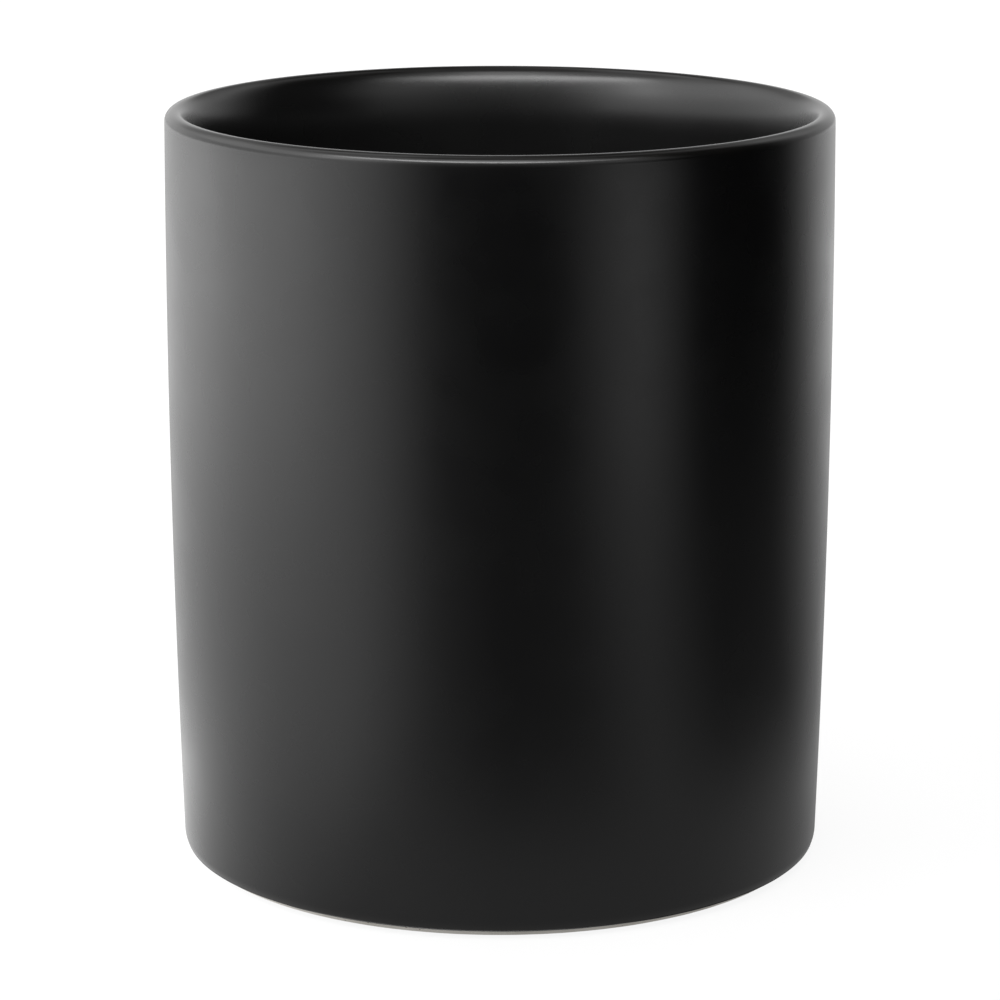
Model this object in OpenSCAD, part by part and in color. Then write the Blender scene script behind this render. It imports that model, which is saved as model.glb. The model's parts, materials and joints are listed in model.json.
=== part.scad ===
// Pottery candle jar: a slip-cast clay tumbler under a dark satin glaze.
// Millimetres. The origin is the middle of the ring that the jar stands on, and +Z points up.
// The jar is one outline turned about Z. Every glazed face is written as the finished face, and
// the clay under it is the same outline sunk by the thickness of the glaze. The glaze is a little
// thicker inside, so the clay of the mouth is slightly conical under its straight glazed face.

/* [Jar] */
// Diameter at the rim, over the glaze
rim_d = 80; // [60:0.5:110]
// Height from the table to the top of the rim
jar_h = 91.2; // [60:0.1:140]
// How far each side leans in, from the rim down to the table
lean_in = 0.9; // [0.1:0.1:3]
// How far each side swells past a straight line, at mid height
belly = 0.5; // [0.1:0.1:2]

/* [Rim] */
// Wall under the rim's two roundings, over both glazed faces
rim_wall = 4; // [2.5:0.1:6]
// Rounding of the rim's outer edge
rim_round = 1.2; // [0.8:0.1:1.5]
// Flat on top of the rim, between its two roundings
rim_flat = 0.1; // [0.1:0.05:0.5]
// Height of the rim's inner rounding, a quarter ellipse that is taller than it is wide
lip_drop = 7.5; // [2:0.5:12]
// Height of the straight mouth under it, which a lid's seal grips
mouth_h = 12; // [4:0.5:20]

/* [Inside] */
// Height of the inner floor above the table
floor_h = 6; // [4:0.1:12]
// How much thicker the wall is at the inner floor than at the mouth
wall_gain = 0.8; // [0.4:0.1:4]
// Rounding between the inner wall and the inner floor
floor_round = 8; // [2:0.5:15]

/* [Foot] */
// Rounding of the clay under the wall, down to the table
foot_round = 2.3; // [1.8:0.1:5]
// Flat width of the ring that the jar stands on
ring_w = 3.5; // [2:0.1:8]
// Rounding of the ring's inner edge
ring_round = 0.4; // [0.2:0.1:0.6]
// Depth of the recess inside the ring
recess_h = 1.4; // [1:0.1:2]
// Straight height between the ring's rounding and the recess's rounding
ring_step = 0.2; // [0.1:0.05:0.3]

/* [Glaze] */
// Thickness of the fired glaze outside and over the rim
glaze_t = 0.35; // [0.15:0.05:0.6]
// Thickness of the fired glaze on the inner wall and floor, where it is poured
pour_t = 0.4; // [0.2:0.05:0.8]
// Height of the glaze line on the clay, above the table
glaze_line = 1.2; // [0.4:0.05:1.7]
// Clear band between the base glaze and the rounding of the recess
base_gap = 0.5; // [0:0.1:3]

/* [Hidden] */
$fn = 128;

small_steps = 8;
lip_steps = 12;
wall_steps = 16;

rim_r = rim_d / 2;
mouth_r = rim_r - rim_wall;
lip_round = rim_wall - rim_round - rim_flat;

// Outer wall: one long arc through the rim and the table line, belly deep at its middle
side_run = sqrt(jar_h * jar_h + lean_in * lean_in);
side_r = side_run * side_run / (8 * belly) + belly / 2;
side_tilt = atan(lean_in / jar_h);
side_c = [rim_r - lean_in / 2, jar_h / 2]
    - (side_r - belly) * [cos(side_tilt), -sin(side_tilt)];

// Centre of a rounding of radius r, at height z, that meets an arc about c of radius big_r from inside
function touching(c, big_r, r, z) = [c[0] + sqrt((big_r - r) * (big_r - r) - (z - c[1]) * (z - c[1])), z];
function tilt_of(from, to) = atan2(to[1] - from[1], to[0] - from[0]);

foot_c = touching(side_c, side_r, foot_round + glaze_t, foot_round);
rim_c = touching(side_c, side_r, rim_round, jar_h - rim_round);
lip_c = [mouth_r + lip_round, jar_h - lip_drop];
foot_turn = tilt_of(side_c, foot_c);
rim_turn = tilt_of(side_c, rim_c);
line_turn = asin((glaze_line - foot_round) / foot_round);

// Inner wall: straight at the mouth, then a long arc that leans in down to the floor's rounding
side_x_at_floor = side_c[0] + sqrt(side_r * side_r - (floor_h - side_c[1]) * (floor_h - side_c[1]));
mouth_z = jar_h - lip_drop - mouth_h;
bore_in = mouth_r - (side_x_at_floor - rim_wall - wall_gain);
bore_drop = mouth_z - floor_h;
bore_arc_r = (bore_drop * bore_drop + bore_in * bore_in) / (2 * bore_in);
bore_c = [mouth_r - bore_arc_r, mouth_z];
corner_c = touching(bore_c, bore_arc_r, floor_round, floor_h + floor_round);
corner_turn = tilt_of(bore_c, corner_c);

// Underside: the flat of the ring ends at ring_in, and the recess starts at recess_r
ring_in = foot_c[0] - ring_w;
recess_r = ring_in - ring_round;
recess_round = recess_h - ring_round - ring_step;
base_glaze_r = recess_r - recess_round - base_gap;

// Points of an oval about c, half_w by half_h, from angle a to angle b, without its first point
function oval(c, half_w, half_h, a, b, steps) =
    [for (i = [1 : steps]) c + [half_w * cos(a + (b - a) * i / steps), half_h * sin(a + (b - a) * i / steps)]];
function arc(c, r, a, b, steps) = oval(c, r, r, a, b, steps);
function reversed(points) = [for (i = [len(points) - 1 : -1 : 0]) points[i]];

// The glazed face from the glaze line, up the outside, over the rim and down to the middle of the
// floor, sunk into the wall by out_sink up to the mouth and by in_sink below it
function glazed_face(out_sink, in_sink) = concat(
    [foot_c + (foot_round + glaze_t - out_sink) * [cos(line_turn), sin(line_turn)]],
    arc(foot_c, foot_round + glaze_t - out_sink, line_turn, foot_turn, small_steps),
    arc(side_c, side_r - out_sink, foot_turn, rim_turn, wall_steps),
    arc(rim_c, rim_round - out_sink, rim_turn, 90, small_steps),
    [lip_c + (lip_drop - out_sink) * [0, 1]],
    oval(lip_c, lip_round - out_sink, lip_drop - out_sink, 90, 180, lip_steps),
    [bore_c + (bore_arc_r + in_sink) * [1, 0]],
    arc(bore_c, bore_arc_r + in_sink, 0, corner_turn, wall_steps),
    arc(corner_c, floor_round + in_sink, corner_turn, -90, small_steps),
    [[0, floor_h - in_sink]]);

// The bare clay from the middle of the recess, over the ring, up to the glaze line
function bare_face() = concat(
    [[0, recess_h], [recess_r - recess_round, recess_h]],
    arc([recess_r - recess_round, recess_h - recess_round], recess_round, 90, 0, small_steps),
    [[recess_r, ring_round]],
    arc([ring_in, ring_round], ring_round, 180, 270, small_steps),
    [[foot_c[0], 0]],
    arc(foot_c, foot_round, -90, line_turn, small_steps));

// Fired clay: wall, floor, and the bare ring that the jar stands on
module clay_body() {
    glazed_clay = glazed_face(glaze_t, pour_t);
    color([0.86, 0.82, 0.75])
        rotate_extrude()
            polygon(concat(bare_face(), [for (i = [1 : len(glazed_clay) - 1]) glazed_clay[i]]));
}

// Dark satin glaze: one skin from the glaze line, over the rim, to the whole inner floor
module glaze_coat() {
    color([0.04, 0.04, 0.045])
        rotate_extrude()
            polygon(concat(glazed_face(0, 0), reversed(glazed_face(glaze_t, pour_t))));
}

// The same glaze as a separate patch in the recess, which the bare ring cuts off from the coat
module base_glaze() {
    color([0.04, 0.04, 0.045])
        rotate_extrude()
            polygon(concat(
                [[0, recess_h], [0, recess_h - glaze_t], [base_glaze_r - glaze_t, recess_h - glaze_t]],
                arc([base_glaze_r - glaze_t, recess_h], glaze_t, -90, 0, small_steps)));
}

clay_body();
glaze_coat();
base_glaze();
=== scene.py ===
# Empty pottery candle jar: pale clay under a satin black glaze, on a white table in soft studio light.
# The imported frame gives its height, widths and floors; the small roundings are in jarSizes below.
import json
import math

import bpy
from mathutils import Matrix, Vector


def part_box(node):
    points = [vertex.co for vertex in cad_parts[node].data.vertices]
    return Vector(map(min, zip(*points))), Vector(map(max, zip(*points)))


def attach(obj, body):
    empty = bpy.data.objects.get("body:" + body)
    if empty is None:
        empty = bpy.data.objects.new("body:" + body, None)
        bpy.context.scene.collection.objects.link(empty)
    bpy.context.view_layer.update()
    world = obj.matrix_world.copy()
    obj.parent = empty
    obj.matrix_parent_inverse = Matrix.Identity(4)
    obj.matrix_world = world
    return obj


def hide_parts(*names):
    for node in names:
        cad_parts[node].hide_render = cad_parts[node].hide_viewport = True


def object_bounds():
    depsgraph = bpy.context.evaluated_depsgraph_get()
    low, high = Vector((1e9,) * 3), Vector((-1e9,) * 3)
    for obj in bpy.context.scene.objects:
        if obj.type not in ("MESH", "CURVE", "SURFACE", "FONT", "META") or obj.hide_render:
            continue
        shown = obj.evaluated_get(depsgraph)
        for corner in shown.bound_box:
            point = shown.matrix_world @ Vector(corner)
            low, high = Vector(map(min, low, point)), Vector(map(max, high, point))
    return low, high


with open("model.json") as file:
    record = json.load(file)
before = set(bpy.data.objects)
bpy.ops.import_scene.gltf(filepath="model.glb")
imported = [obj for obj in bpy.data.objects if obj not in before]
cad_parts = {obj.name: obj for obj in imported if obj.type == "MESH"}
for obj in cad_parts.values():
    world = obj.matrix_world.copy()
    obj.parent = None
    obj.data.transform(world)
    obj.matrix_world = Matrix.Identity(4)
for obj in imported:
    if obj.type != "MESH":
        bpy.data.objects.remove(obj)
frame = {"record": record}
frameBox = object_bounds()
mm = 0.001
mounts = {mount["name"]: mount for mount in frame["record"]["mounts"]}
jarTop = frameBox[1].z
jarSide = min(frameBox[1].x, frameBox[1].y)  # the widest place, at the belly
mouthRadius = mounts["mouth"]["dims"]["r_mm"] * mm
innerFloor = mounts["wick_seat"]["pos_m"][2]
patchLow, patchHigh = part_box("base_glaze")
recessTop = patchHigh.z
print("frame loaded, jar height in mm:", round(jarTop / mm, 2))


# the turned outline of the jar: x is the distance from the middle, y is the height

jarSizes = {
    "leanIn": 0.9 * mm,  # each side, from the rim down to the table
    "belly": 0.5 * mm,
    "rimRound": 1.2 * mm,
    "rimFlat": 0.1 * mm,
    "lipDrop": 7.5 * mm,  # the inner edge of the rim is a tall quarter ellipse
    "mouthHeight": 12.0 * mm,
    "wallGain": 0.8 * mm,  # how much thicker the wall is at the inner floor
    "floorRound": 8.0 * mm,
    "footRound": 2.3 * mm,
    "ringWidth": 3.5 * mm,
    "ringRound": 0.4 * mm,
    "ringStep": 0.2 * mm,
    "glaze": 0.35 * mm,
    "pouredGlaze": 0.4 * mm,  # the inside is poured and comes out thicker
    "glazeLine": 1.2 * mm,
    "hairGap": 0.01 * mm,  # keeps clay and glaze out of the very same face
}


def onCircle(centre, radius, turn):
    return centre + radius * Vector((math.cos(turn), math.sin(turn)))


def arcPoints(centre, radius, start, end, steps):
    return [onCircle(centre, radius, start + (end - start) * i / steps) for i in range(steps + 1)]


def ellipsePoints(centre, halfWidth, halfHeight, start, end, steps):
    turns = [start + (end - start) * i / steps for i in range(steps + 1)]
    return [centre + Vector((halfWidth * math.cos(t), halfHeight * math.sin(t))) for t in turns]


def insideArc(centre, bigRadius, radius, height):
    # centre of a rounding that meets the big arc from inside, at this height
    rise = height - centre.y
    return Vector((centre.x + math.sqrt((bigRadius - radius) ** 2 - rise**2), height))


def arcXAt(centre, radius, height):
    return centre.x + math.sqrt(radius**2 - (height - centre.y) ** 2)


def turnOf(centre, point):
    return math.atan2(point.y - centre.y, point.x - centre.x)


def jarCurves(s):
    curves = {}
    run = math.hypot(jarTop, s["leanIn"])
    sideRadius = run**2 / (8 * s["belly"]) + s["belly"] / 2
    lean = math.atan2(s["leanIn"], jarTop)
    side = Vector((jarSide - sideRadius, jarTop / 2 + (sideRadius - s["belly"]) * math.sin(lean)))
    rimWall = arcXAt(side, sideRadius, jarTop) - mouthRadius
    lipRound = rimWall - s["rimRound"] - s["rimFlat"]
    curves["side"], curves["sideRadius"], curves["lipRound"] = side, sideRadius, lipRound
    curves["foot"] = insideArc(side, sideRadius, s["footRound"] + s["glaze"], s["footRound"])
    curves["rim"] = insideArc(side, sideRadius, s["rimRound"], jarTop - s["rimRound"])
    curves["lip"] = Vector((mouthRadius + lipRound, jarTop - s["lipDrop"]))
    mouthFoot = curves["lip"].y - s["mouthHeight"]
    boreIn = mouthRadius - (arcXAt(side, sideRadius, innerFloor) - rimWall - s["wallGain"])
    boreDrop = mouthFoot - innerFloor
    boreRadius = (boreDrop**2 + boreIn**2) / (2 * boreIn)
    curves["bore"], curves["boreRadius"] = Vector((mouthRadius - boreRadius, mouthFoot)), boreRadius
    curves["corner"] = insideArc(curves["bore"], boreRadius, s["floorRound"], innerFloor + s["floorRound"])
    curves["lineTurn"] = math.asin((s["glazeLine"] - s["footRound"]) / s["footRound"])
    return curves


def glazedFace(s, curves, outSink, inSink):
    # from the glaze line up the outside, over the rim and down to the middle of the inner floor
    side, foot, rim, lip = curves["side"], curves["foot"], curves["rim"], curves["lip"]
    bore, corner = curves["bore"], curves["corner"]
    up, inwards, down = math.pi / 2, math.pi, -math.pi / 2
    footTurn, rimTurn, cornerTurn = turnOf(side, foot), turnOf(side, rim), turnOf(bore, corner)
    points = arcPoints(foot, s["footRound"] + s["glaze"] - outSink, curves["lineTurn"], footTurn, 8)
    points += arcPoints(side, curves["sideRadius"] - outSink, footTurn, rimTurn, 40)[1:]
    points += arcPoints(rim, s["rimRound"] - outSink, rimTurn, up, 12)[1:]
    points += ellipsePoints(lip, curves["lipRound"] - outSink, s["lipDrop"] - outSink, up, inwards, 20)
    points += arcPoints(bore, curves["boreRadius"] + inSink, 0, cornerTurn, 28)
    points += arcPoints(corner, s["floorRound"] + inSink, cornerTurn, down, 12)[1:]
    floorSteps = 6
    shares = [1 - i / floorSteps for i in range(1, floorSteps + 1)]
    points += [Vector((corner.x * share, innerFloor - inSink)) for share in shares]
    return points


def slideAlongFoot(points, s, curves):
    # how a wavy glaze line moves each point: along the foot's rounding, most at the line itself
    foot, slides = curves["foot"], []
    footTurn = turnOf(curves["side"], foot)
    for point in points:
        turn = turnOf(foot, point)
        near = (point - foot).length < s["footRound"] + 2 * s["glaze"] and turn < footTurn
        share = (footTurn - turn) / (footTurn - curves["lineTurn"]) if near else 0
        slides.append(Vector((-math.sin(turn), math.cos(turn))) * min(share, 1))
    return slides


# a shell turned about Z by Geometry Nodes, with a wavy edge and a slightly uneven surface


def addNode(tree, kind, inputs=None, **settings):
    node = tree.nodes.new(kind)
    for name, value in settings.items():
        setattr(node, name, value)
    for key, value in (inputs or {}).items():
        if isinstance(value, bpy.types.NodeSocket):
            tree.links.new(value, node.inputs[key])
        else:
            node.inputs[key].default_value = value
    return node


def addMath(tree, operation, first, second=0.0):
    return addNode(tree, "ShaderNodeMath", {0: first, 1: second}, operation=operation).outputs[0]


def turnedShellTree():
    tree = bpy.data.node_groups.new("turnedShell", "GeometryNodeTree")
    sockets = tree.interface
    sockets.new_socket(name="Outline", in_out="INPUT", socket_type="NodeSocketGeometry")
    for name, kind in (
        ("Steps Around", "NodeSocketInt"),
        ("Edge Wave", "NodeSocketFloat"),
        ("Waves Around", "NodeSocketFloat"),
        ("Unevenness", "NodeSocketFloat"),
        ("Patch Size", "NodeSocketFloat"),
        ("Seed", "NodeSocketInt"),
        ("Finish", "NodeSocketMaterial"),
    ):
        sockets.new_socket(name=name, in_out="INPUT", socket_type=kind)
    sockets.new_socket(name="Shell", in_out="OUTPUT", socket_type="NodeSocketGeometry")
    given = addNode(tree, "NodeGroupInput").outputs

    # a grid with one column for each step around and one row for each point of the outline
    outlineIn = {"Geometry": given["Outline"]}
    size = addNode(tree, "GeometryNodeAttributeDomainSize", outlineIn, component="MESH")
    rows = size.outputs["Point Count"]
    columns = addMath(tree, "ADD", given["Steps Around"], 1.0)
    grid = addNode(tree, "GeometryNodeMeshGrid", {"Vertices X": columns, "Vertices Y": rows})
    index = addNode(tree, "GeometryNodeInputIndex").outputs[0]
    row = addMath(tree, "FLOORED_MODULO", index, rows)
    column = addMath(tree, "FLOOR", addMath(tree, "DIVIDE", addMath(tree, "ADD", index, 0.5), rows))
    share = addMath(tree, "DIVIDE", column, given["Steps Around"])
    turn = addMath(tree, "MULTIPLY", share, math.tau)
    cosTurn, sinTurn = addMath(tree, "COSINE", turn), addMath(tree, "SINE", turn)

    def fromOutline(value, kind):
        sample = addNode(tree, "GeometryNodeSampleIndex", data_type=kind, domain="POINT")
        tree.links.new(given["Outline"], sample.inputs["Geometry"])
        tree.links.new(value, sample.inputs["Value"])
        tree.links.new(row, sample.inputs["Index"])
        return sample.outputs["Value"]

    def named(name, kind):
        return addNode(tree, "GeometryNodeInputNamedAttribute", {"Name": name}, data_type=kind).outputs[0]

    place = fromOutline(addNode(tree, "GeometryNodeInputPosition").outputs[0], "FLOAT_VECTOR")
    slide = fromOutline(named("slide", "FLOAT_VECTOR"), "FLOAT_VECTOR")
    skin = fromOutline(named("skin", "FLOAT"), "FLOAT")

    # the wave runs round the edge and closes on itself
    ring = addNode(tree, "ShaderNodeCombineXYZ", {"X": cosTurn, "Y": sinTurn, "Z": given["Seed"]})
    wave = addNode(
        tree,
        "ShaderNodeTexNoise",
        {"Vector": ring.outputs[0], "Scale": given["Waves Around"], "Detail": 2.0},
    ).outputs[0]
    wave = addMath(tree, "MULTIPLY", addMath(tree, "SUBTRACT", wave, 0.5), given["Edge Wave"])
    slid = addNode(tree, "ShaderNodeVectorMath", {0: slide, "Scale": wave}, operation="SCALE").outputs[0]
    moved = addNode(tree, "ShaderNodeVectorMath", {0: place, 1: slid}, operation="ADD").outputs[0]
    split = addNode(tree, "ShaderNodeSeparateXYZ", {0: moved}).outputs
    turned = addNode(
        tree,
        "ShaderNodeCombineXYZ",
        {
            "X": addMath(tree, "MULTIPLY", split["X"], cosTurn),
            "Y": addMath(tree, "MULTIPLY", split["X"], sinTurn),
            "Z": split["Z"],
        },
    ).outputs[0]
    keptSkin = addNode(
        tree,
        "GeometryNodeStoreNamedAttribute",
        {"Geometry": grid.outputs["Mesh"], "Name": "skin", "Value": skin},
        data_type="FLOAT",
        domain="POINT",
    ).outputs[0]
    shell = addNode(tree, "GeometryNodeSetPosition", {"Geometry": keptSkin, "Position": turned}).outputs[0]
    welded = {"Geometry": shell, "Distance": 0.001 * mm}
    shell = addNode(tree, "GeometryNodeMergeByDistance", welded).outputs[0]

    # broad unevenness, only ever inwards, so that the shell stays within its outline
    spot = addNode(tree, "GeometryNodeInputPosition").outputs[0]
    scale = addMath(tree, "DIVIDE", 1.0, given["Patch Size"])
    patches = addNode(
        tree,
        "ShaderNodeTexNoise",
        {"Vector": spot, "W": given["Seed"], "Scale": scale, "Detail": 1.5},
        noise_dimensions="4D",
    ).outputs[0]
    depth = addMath(tree, "MULTIPLY", addMath(tree, "MULTIPLY", patches, given["Unevenness"]), -1.0)
    depth = addMath(tree, "MULTIPLY", depth, named("skin", "FLOAT"))
    normal = addNode(tree, "GeometryNodeInputNormal").outputs[0]
    sink = addNode(tree, "ShaderNodeVectorMath", {0: normal, "Scale": depth}, operation="SCALE").outputs[0]
    shell = addNode(tree, "GeometryNodeSetPosition", {"Geometry": shell, "Offset": sink}).outputs[0]
    shell = addNode(tree, "GeometryNodeSetShadeSmooth", {"Geometry": shell}).outputs[0]
    shell = addNode(tree, "GeometryNodeRealizeInstances", {"Geometry": shell}).outputs[0]
    finish = {"Geometry": shell, "Material": given["Finish"]}
    shell = addNode(tree, "GeometryNodeSetMaterial", finish).outputs[0]
    addNode(tree, "NodeGroupOutput", {"Shell": shell})
    return tree


def turnShell(name, points, skin, slides, inputs):
    outline = bpy.data.meshes.new(name + "Outline")
    edges = [(i, i + 1) for i in range(len(points) - 1)]
    outline.from_pydata([(point.x, 0, point.y) for point in points], edges, [])
    skinValues = outline.attributes.new("skin", "FLOAT", "POINT")
    skinValues.data.foreach_set("value", skin)
    slideValues = outline.attributes.new("slide", "FLOAT_VECTOR", "POINT")
    slideValues.data.foreach_set("vector", [value for slide in slides for value in (slide.x, 0, slide.y)])
    piece = bpy.data.objects.new(name, outline)
    bpy.context.scene.collection.objects.link(piece)
    lathe = piece.modifiers.new("lathe", "NODES")
    lathe.node_group = shellTree
    for socket in shellTree.interface.items_tree:
        if socket.name in inputs:
            lathe[socket.identifier] = inputs[socket.name]
    graph = bpy.context.evaluated_depsgraph_get()
    finished = bpy.data.meshes.new_from_object(piece.evaluated_get(graph))
    piece.modifiers.remove(lathe)
    piece.data = finished
    finished.name = name
    bpy.data.meshes.remove(outline)
    print(name, "turned,", len(finished.polygons), "faces")
    return piece


# finishes

glazeLook = {
    "colour": (0.0015, 0.0015, 0.0016, 1),
    "insideColour": (0.006, 0.006, 0.006, 1),  # poured thicker and left a little more milky
    "thinColour": (0.007, 0.0065, 0.006, 1),  # where the glaze thins over the rim and at its lower edge
    "roughness": 0.27,
    "roughnessSpread": 0.02,
    "rimRoughness": 0.15,
    "patchSize": 9 * mm,
    "grainSize": 0.35 * mm,
    "grainHeight": 0.0035 * mm,
    "overRim": (jarTop - 1.6 * mm, jarTop),
    "lowEdge": (2.4 * mm, 1.2 * mm),
    "insideEdge": (mouthRadius + 2 * mm, mouthRadius + 0.5 * mm),  # distances from the jar's axis
}

clayLook = {
    "colour": (0.70, 0.67, 0.62, 1),
    "darkColour": (0.56, 0.53, 0.48, 1),
    "speckColour": (0.28, 0.24, 0.20, 1),
    "roughness": 0.82,
    "cloudSize": 6 * mm,
    "speckSize": 0.9 * mm,
    "speckEdge": (0.16, 0.10),
    "speckShare": (0.62, 0.7),  # about a third of the cells hold a speck
    "grainSize": 0.12 * mm,
    "grainHeight": 0.02 * mm,
}


def newMaterial(name):
    material = bpy.data.materials.new(name)
    material.use_nodes = True
    tree = material.node_tree
    tree.nodes.clear()
    shader = addNode(tree, "ShaderNodeBsdfPrincipled")
    addNode(tree, "ShaderNodeOutputMaterial", {"Surface": shader.outputs[0]})
    return material, tree, shader


def noiseOn(tree, place, size, detail=2.0, seed=0.0):
    inputs = {"Vector": place, "Scale": 1 / size, "Detail": detail, "W": seed}
    return addNode(tree, "ShaderNodeTexNoise", inputs, noise_dimensions="4D").outputs[0]


def mixColours(tree, factor, first, second):
    node = addNode(tree, "ShaderNodeMix", data_type="RGBA")
    for socket, value in ((node.inputs[0], factor), (node.inputs[6], first), (node.inputs[7], second)):
        if isinstance(value, bpy.types.NodeSocket):
            tree.links.new(value, socket)
        else:
            socket.default_value = value
    return node.outputs[2]


def rangeOf(tree, value, low, high, newLow=0.0, newHigh=1.0):
    inputs = {"Value": value, "From Min": low, "From Max": high, "To Min": newLow, "To Max": newHigh}
    return addNode(tree, "ShaderNodeMapRange", inputs, interpolation_type="SMOOTHSTEP").outputs[0]


def satinGlaze():
    look = glazeLook
    material, tree, shader = newMaterial("satinBlackGlaze")
    place = addNode(tree, "ShaderNodeTexCoord").outputs["Object"]
    height = addNode(tree, "ShaderNodeSeparateXYZ", {0: place}).outputs["Z"]
    overRim = rangeOf(tree, height, *look["overRim"])
    lowEdge = rangeOf(tree, height, *look["lowEdge"])
    thin = addMath(tree, "MAXIMUM", overRim, lowEdge)
    patches = noiseOn(tree, place, look["patchSize"], 3.0)
    thin = addMath(tree, "MULTIPLY", thin, rangeOf(tree, patches, 0.3, 0.7, 0.5, 1.0))
    flat = addNode(tree, "ShaderNodeVectorMath", {0: place, 1: (1, 1, 0)}, operation="MULTIPLY").outputs[0]
    away = addNode(tree, "ShaderNodeVectorMath", {0: flat}, operation="LENGTH").outputs["Value"]
    inside = rangeOf(tree, away, *look["insideEdge"])
    inside = addMath(tree, "MULTIPLY", inside, rangeOf(tree, height, recessTop, innerFloor - 1 * mm))
    colour = mixColours(tree, inside, look["colour"], look["insideColour"])
    colour = mixColours(tree, thin, colour, look["thinColour"])
    tree.links.new(colour, shader.inputs["Base Color"])
    spread = look["roughnessSpread"]
    rough = rangeOf(tree, patches, 0.3, 0.7, look["roughness"] - spread, look["roughness"] + spread)
    rough = addNode(tree, "ShaderNodeMix", {0: overRim, 2: rough, 3: look["rimRoughness"]}).outputs[0]
    tree.links.new(rough, shader.inputs["Roughness"])
    shader.inputs["IOR"].default_value = 1.5
    grain = noiseOn(tree, place, look["grainSize"], 2.0, 3.0)
    bump = addNode(
        tree,
        "ShaderNodeBump",
        {"Height": grain, "Strength": 1.0, "Distance": look["grainHeight"]},
    ).outputs[0]
    tree.links.new(bump, shader.inputs["Normal"])
    return material


def bareClay():
    look = clayLook
    material, tree, shader = newMaterial("bareClay")
    place = addNode(tree, "ShaderNodeTexCoord").outputs["Object"]
    cloud = rangeOf(tree, noiseOn(tree, place, look["cloudSize"], 3.0), 0.35, 0.7)
    colour = mixColours(tree, cloud, look["colour"], look["darkColour"])
    specks = addNode(
        tree, "ShaderNodeTexVoronoi", {"Vector": place, "Scale": 1 / look["speckSize"], "Randomness": 1.0}
    )
    speck = rangeOf(tree, specks.outputs["Distance"], *look["speckEdge"])
    lot = addNode(tree, "ShaderNodeSeparateXYZ", {0: specks.outputs["Color"]}).outputs[0]
    chosen = rangeOf(tree, lot, *look["speckShare"])
    speck = addMath(tree, "MULTIPLY", speck, chosen)
    colour = mixColours(tree, speck, colour, look["speckColour"])
    tree.links.new(colour, shader.inputs["Base Color"])
    shader.inputs["Roughness"].default_value = look["roughness"]
    grain = noiseOn(tree, place, look["grainSize"], 4.0, 5.0)
    bump = addNode(
        tree,
        "ShaderNodeBump",
        {"Height": grain, "Strength": 1.0, "Distance": look["grainHeight"]},
    ).outputs[0]
    tree.links.new(bump, shader.inputs["Normal"])
    return material


# the three pieces

curves = jarCurves(jarSizes)
shellTree = turnedShellTree()
glazeFinish = satinGlaze()
clayFinish = bareClay()


def makeGlazeSkin():
    s = jarSizes
    sizes = {
        "stepsAround": 256,
        "edgeWave": 0.16 * mm,
        "waves": 7.0,
        "unevenness": 0.03 * mm,
        "patch": 14 * mm,
    }
    thickness = s["glaze"]
    clayFace = glazedFace(s, curves, thickness, s["pouredGlaze"])
    outerFace = glazedFace(s, curves, 0, 0)
    # the lower edge is a rolled bead that ends on the glaze line
    beadTurn = curves["lineTurn"] + thickness / 2 / (s["footRound"] + thickness)
    beadCentre = onCircle(curves["foot"], s["footRound"] + thickness / 2, beadTurn)
    bead = arcPoints(beadCentre, thickness / 2, beadTurn - math.pi, beadTurn, 8)
    clayFace[0], outerFace[0] = bead[0], bead[-1]
    points = clayFace[::-1] + bead[1:-1] + outerFace
    skin = [0.0] * len(clayFace) + [0.0] * (len(bead) - 2) + [1.0] * len(outerFace)
    return turnShell(
        "glazeSkin",
        points,
        skin,
        slideAlongFoot(points, s, curves),
        {
            "Steps Around": sizes["stepsAround"],
            "Edge Wave": sizes["edgeWave"],
            "Waves Around": sizes["waves"],
            "Unevenness": sizes["unevenness"],
            "Patch Size": sizes["patch"],
            "Seed": 11,
            "Finish": glazeFinish,
        },
    )


def makeClayVessel():
    s = jarSizes
    sizes = {"stepsAround": 256, "unevenness": 0.03 * mm, "patch": 2.5 * mm}
    foot = curves["foot"]
    ringIn = foot.x - s["ringWidth"]
    recessRadius = ringIn - s["ringRound"]
    recessRound = recessTop - s["ringRound"] - s["ringStep"]
    cornerX = recessRadius - recessRound
    under = [Vector((cornerX * i / 6, recessTop)) for i in range(6)]
    under += arcPoints(Vector((cornerX, recessTop - recessRound)), recessRound, math.pi / 2, 0, 8)
    ringCentre = Vector((ringIn, s["ringRound"]))
    under += arcPoints(ringCentre, s["ringRound"], math.pi, 1.5 * math.pi, 6)
    under += [Vector((ringIn + s["ringWidth"] * i / 5, 0)) for i in range(1, 5)]
    under += arcPoints(foot, s["footRound"], -math.pi / 2, curves["lineTurn"], 12)
    glazed = glazedFace(s, curves, s["glaze"] + s["hairGap"], s["pouredGlaze"] + s["hairGap"])[1:]
    points = under + glazed
    skin = [1.0] * (len(under) - 1) + [0.0] * (len(glazed) + 1)
    return turnShell(
        "clayVessel",
        points,
        skin,
        [Vector((0, 0))] * len(points),
        {
            "Steps Around": sizes["stepsAround"],
            "Edge Wave": 0.0,
            "Waves Around": 1.0,
            "Unevenness": sizes["unevenness"],
            "Patch Size": sizes["patch"],
            "Seed": 4,
            "Finish": clayFinish,
        },
    )


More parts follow.
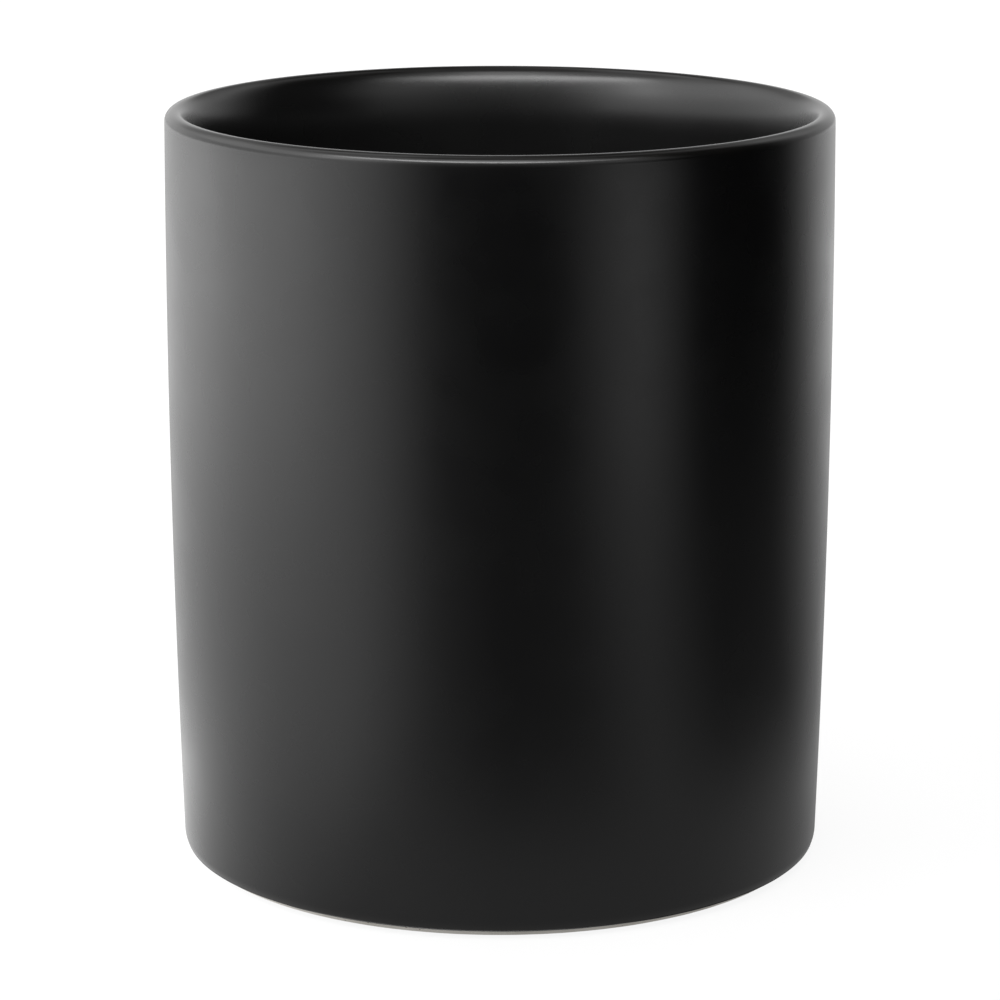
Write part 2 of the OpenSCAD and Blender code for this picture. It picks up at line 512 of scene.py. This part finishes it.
def makeBaseGlaze():
    sizes = {"stepsAround": 192, "edgeWave": 1.2 * mm, "waves": 3.0, "unevenness": 0.04 * mm, "patch": 9 * mm}
    low, high, radius = patchLow.z, patchHigh.z, min(patchHigh.x, patchHigh.y)
    thickness = high - low
    edge = arcPoints(Vector((radius - thickness, high)), thickness, -math.pi / 2, 0, 8)
    points = [Vector(((radius - thickness) * i / 8, low)) for i in range(8)] + edge
    points += [Vector((radius * (1 - i / 8), high)) for i in range(1, 9)]
    slides = [Vector((-max(0.0, point.x / radius * 4 - 3), 0)) for point in points]
    skin = [1.0 if point.y < high - thickness / 2 else 0.0 for point in points]
    return turnShell(
        "baseGlazePatch",
        points,
        skin,
        slides,
        {
            "Steps Around": sizes["stepsAround"],
            "Edge Wave": sizes["edgeWave"],
            "Waves Around": sizes["waves"],
            "Unevenness": sizes["unevenness"],
            "Patch Size": sizes["patch"],
            "Seed": 23,
            "Finish": glazeFinish,
        },
    )


glazeSkin = makeGlazeSkin()
clayVessel = makeClayVessel()
baseGlazePatch = makeBaseGlaze()
for piece, node, slotName in (
    (glazeSkin, "glaze_coat", "glaze"),
    (clayVessel, "clay_body", "clay"),
    (baseGlazePatch, "base_glaze", "glaze"),
):
    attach(piece, "root")
    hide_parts(node)
print("pieces ride on the frame")


# table, camera and lights

tableLook = {
    "side": 6.0,
    "colour": (0.1, 0.1, 0.1, 1),
    "roughness": 0.9,
    "ownLight": 0.9,
    "paintedShadeReach": 40 * mm,  # a faint painted shade round the foot, where ambient occlusion dims the table's own glow
    "paintedShadeDepth": 0.06,
}


def makeTable():
    half = tableLook["side"] / 2
    mesh = bpy.data.meshes.new("tableTop")
    corners = [(-half, -half, 0), (half, -half, 0), (half, half, 0), (-half, half, 0)]
    mesh.from_pydata(corners, [], [(0, 1, 2, 3)])
    table = bpy.data.objects.new("tableTop", mesh)
    bpy.context.scene.collection.objects.link(table)
    material, tree, shader = newMaterial("whiteTable")
    shader.inputs["Base Color"].default_value = tableLook["colour"]
    shader.inputs["Roughness"].default_value = tableLook["roughness"]
    shader.inputs["Emission Color"].default_value = (1, 1, 1, 1)
    reach = {"Distance": tableLook["paintedShadeReach"]}
    # painted shade: the table's own glow is dimmed near the jar by an ambient occlusion node, standing in for
    # its contact shadow
    clear = addNode(tree, "ShaderNodeAmbientOcclusion", reach, samples=8).outputs["AO"]
    bright = tableLook["ownLight"]
    glowWithPaintedShade = rangeOf(tree, clear, 0, 1, bright * (1 - tableLook["paintedShadeDepth"]), bright)
    tree.links.new(glowWithPaintedShade, shader.inputs["Emission Strength"])
    mesh.materials.append(material)
    table.visible_glossy = False  # the glaze mirrors the card instead
    table.visible_diffuse = False


cameraSetup = {
    "lens": 141.1,  # on a 36 mm sensor
    "distance": 466.1 * mm,  # from the jar's axis, along the table
    "height": 155.4 * mm,
    "pitch": math.radians(13.57),
}


def makeCamera():
    data = bpy.data.cameras.new("viewCamera")
    data.lens = cameraSetup["lens"]
    data.sensor_width = 36
    data.clip_start = 0.01
    camera = bpy.data.objects.new("viewCamera", data)
    camera.location = (0, -cameraSetup["distance"], cameraSetup["height"])
    camera.rotation_euler = (math.pi / 2 - cameraSetup["pitch"], 0, 0)
    bpy.context.scene.collection.objects.link(camera)
    bpy.context.scene.camera = camera


# light by compass direction: 0 is the camera's side, 90 the right, 180 behind and -90 the left

skyLook = {
    "low": [(-180, 0.8), (-90, 1.4), (-70, 1.7), (-45, 1.5), (-30, 0.4), (0, 0.1), (45, 0.4), (60, 0),
            (105, 0), (135, 0.6), (180, 0.8)],
    "middle": [(-180, 0.3), (-150, 0.6), (-120, 1.8), (-75, 2.5), (-60, 4.0), (-45, 2.0), (-20, 0.4),
               (15, 0.4), (45, 0.9), (70, 0), (110, 0), (135, 0.8), (165, 0.3)],
    "strip": [(-160, 0), (-135, 0.9), (-80, 2.0), (-60, 8.0), (-30, 10.0), (-15, 10.0), (20, 8.0), (45, 2.7),
              (65, 0), (110, 0), (135, 0.5), (160, 0)],
    "high": [(-180, 0.3), (-135, 1.2), (-105, 0.8), (-45, 1.4), (-15, 3.0), (10, 3.0), (30, 1.3), (60, 0.4),
             (90, 0), (135, 0.4), (165, 0), (180, 0.3)],
    "overhead": 0.35,
    "brightest": 10.0,
    "horizon": (-0.03, -0.01),  # heights are the upward part of a direction: 0 is level, 1 is straight up
    "middleFrom": (0.24, 0.38),
    "stripFrom": (0.64, 0.69),
    "highFrom": (0.76, 0.81),
    "overheadFrom": (0.93, 0.97),
}

cardLook = {
    "lift": 0.05 * mm,
    "atFoot": [(-180, 0.7), (-110, 1.5), (-60, 0.9), (-30, 0.5), (0, 0.4), (90, 0.4), (180, 0.7)],
    "near": [(-180, 0.8), (-90, 1.3), (-45, 1.1), (-20, 0.3), (0, 0.1), (25, 0.15), (45, 0.4), (70, 0.1),
             (100, 0.1), (135, 0.5), (180, 0.8)],
    "far": [(-180, 0.6), (-135, 1.6), (-110, 2.7), (-70, 2.6), (-45, 1.3), (-20, 0), (20, 0), (45, 1.0),
            (65, 0), (110, 0), (135, 0.9), (155, 1.1), (180, 0.6)],
    "brightest": 3.0,
    "footFade": (110 * mm, 55 * mm),  # distances from the jar's axis
    "farFade": (120 * mm, 450 * mm),
}

# the card and the white wall end here, inside the table's edge
stage = {"radius": 2.9, "wallHeight": 4.0, "steps": 64}


def compassShare(tree, split):
    turn = addMath(tree, "ARCTAN2", split["X"], addMath(tree, "MULTIPLY", split["Y"], -1.0))
    return addMath(tree, "ADD", addMath(tree, "DIVIDE", turn, math.tau), 0.5)


def compassRamp(tree, share, stops, brightest):
    ramp = addNode(tree, "ShaderNodeValToRGB", {0: share})
    elements = ramp.color_ramp.elements
    while len(elements) > 1:
        elements.remove(elements[-1])
    for number, (compass, brightness) in enumerate(stops):
        place = compass / 360 + 0.5
        element = elements[0] if number == 0 else elements.new(place)
        element.position = place
        grey = brightness / brightest
        element.color = (grey, grey, grey, 1)
    return ramp.outputs[0]


def makeSky():
    world = bpy.data.worlds.new("studio")
    world.use_nodes = True
    tree = world.node_tree
    tree.nodes.clear()
    direction = addNode(tree, "ShaderNodeTexCoord").outputs["Generated"]
    split = addNode(tree, "ShaderNodeSeparateXYZ", {0: direction}).outputs
    share = compassShare(tree, split)
    colour = compassRamp(tree, share, skyLook["low"], skyLook["brightest"])
    for band in ("middle", "strip", "high"):
        ramp = compassRamp(tree, share, skyLook[band], skyLook["brightest"])
        colour = mixColours(tree, rangeOf(tree, split["Z"], *skyLook[band + "From"]), colour, ramp)
    grey = skyLook["overhead"] / skyLook["brightest"]
    top = rangeOf(tree, split["Z"], *skyLook["overheadFrom"])
    colour = mixColours(tree, top, colour, (grey, grey, grey, 1))
    strength = rangeOf(tree, split["Z"], *skyLook["horizon"], 0.0, skyLook["brightest"])
    light = addNode(tree, "ShaderNodeBackground", {0: colour, 1: strength})
    addNode(tree, "ShaderNodeOutputWorld", {0: light.outputs[0]})
    bpy.context.scene.world = world


def stageCircle():
    radius, steps = stage["radius"], stage["steps"]
    turns = [i * math.tau / steps for i in range(steps)]
    return [(radius * math.sin(turn), radius * math.cos(turn)) for turn in turns]


def makeCard():
    # what the glaze and the clay see of the table: bright at the left and behind, dim in front
    corners = [(x, y, 0) for x, y in stageCircle()]
    mesh = bpy.data.meshes.new("reflectionCard")
    mesh.from_pydata(corners, [], [tuple(range(len(corners)))])
    card = bpy.data.objects.new("reflectionCard", mesh)
    card.location.z = cardLook["lift"]
    bpy.context.scene.collection.objects.link(card)
    material = bpy.data.materials.new("cardLight")
    material.use_nodes = True
    tree = material.node_tree
    tree.nodes.clear()
    place = addNode(tree, "ShaderNodeTexCoord").outputs["Object"]
    split = addNode(tree, "ShaderNodeSeparateXYZ", {0: place}).outputs
    share = compassShare(tree, split)
    zones = ("atFoot", "near", "far")
    foot, near, far = (compassRamp(tree, share, cardLook[zone], cardLook["brightest"]) for zone in zones)
    away = addNode(tree, "ShaderNodeVectorMath", {0: place}, operation="LENGTH").outputs["Value"]
    colour = mixColours(tree, rangeOf(tree, away, *cardLook["farFade"]), near, far)
    colour = mixColours(tree, rangeOf(tree, away, *cardLook["footFade"]), colour, foot)
    light = addNode(tree, "ShaderNodeEmission", {0: colour, 1: cardLook["brightest"]})
    addNode(tree, "ShaderNodeOutputMaterial", {"Surface": light.outputs[0]})
    material.cycles.emission_sampling = "NONE"
    mesh.materials.append(material)
    card.visible_camera = card.visible_shadow = card.visible_transmission = False


def makeBackdrop():
    # a white wall all round that only the camera sees, above the far edge of the table
    mesh = bpy.data.meshes.new("backdrop")
    ring, steps = stageCircle(), stage["steps"]
    corners = [(x, y, 0) for x, y in ring] + [(x, y, stage["wallHeight"]) for x, y in ring]
    faces = [(i, (i + 1) % steps, steps + (i + 1) % steps, steps + i) for i in range(steps)]
    mesh.from_pydata(corners, [], faces + [tuple(range(steps, 2 * steps))])
    wall = bpy.data.objects.new("backdrop", mesh)
    bpy.context.scene.collection.objects.link(wall)
    material = bpy.data.materials.new("backdropLight")
    material.use_nodes = True
    tree = material.node_tree
    tree.nodes.clear()
    light = addNode(tree, "ShaderNodeEmission", {0: (1, 1, 1, 1), 1: 1.0})
    addNode(tree, "ShaderNodeOutputMaterial", {"Surface": light.outputs[0]})
    material.cycles.emission_sampling = "NONE"
    mesh.materials.append(material)
    wall.visible_glossy = wall.visible_diffuse = wall.visible_shadow = wall.visible_transmission = False


frontStrip = {"compass": -8, "elevation": 50, "distance": 1.0, "width": 0.8, "height": 0.2, "radiance": 1}


def softbox(name, look):
    data = bpy.data.lights.new(name, "AREA")
    data.shape = "RECTANGLE"
    data.size, data.size_y = look["width"], look["height"]
    data.energy = look["radiance"] * math.pi * look["width"] * look["height"]
    box = bpy.data.objects.new(name, data)
    turn, rise = math.radians(look["compass"]), math.radians(look["elevation"])
    out = Vector((math.sin(turn) * math.cos(rise), -math.cos(turn) * math.cos(rise), math.sin(rise)))
    box.location = Vector((0, 0, jarTop)) + out * look["distance"]
    box.rotation_euler = out.to_track_quat("Z", "Y").to_euler()
    box.visible_camera = False
    bpy.context.scene.collection.objects.link(box)


makeTable()
makeCamera()
makeSky()
makeCard()
makeBackdrop()
softbox("frontStrip", frontStrip)
bpy.context.scene.view_settings.view_transform = "Standard"
print("table, camera and lights in place")
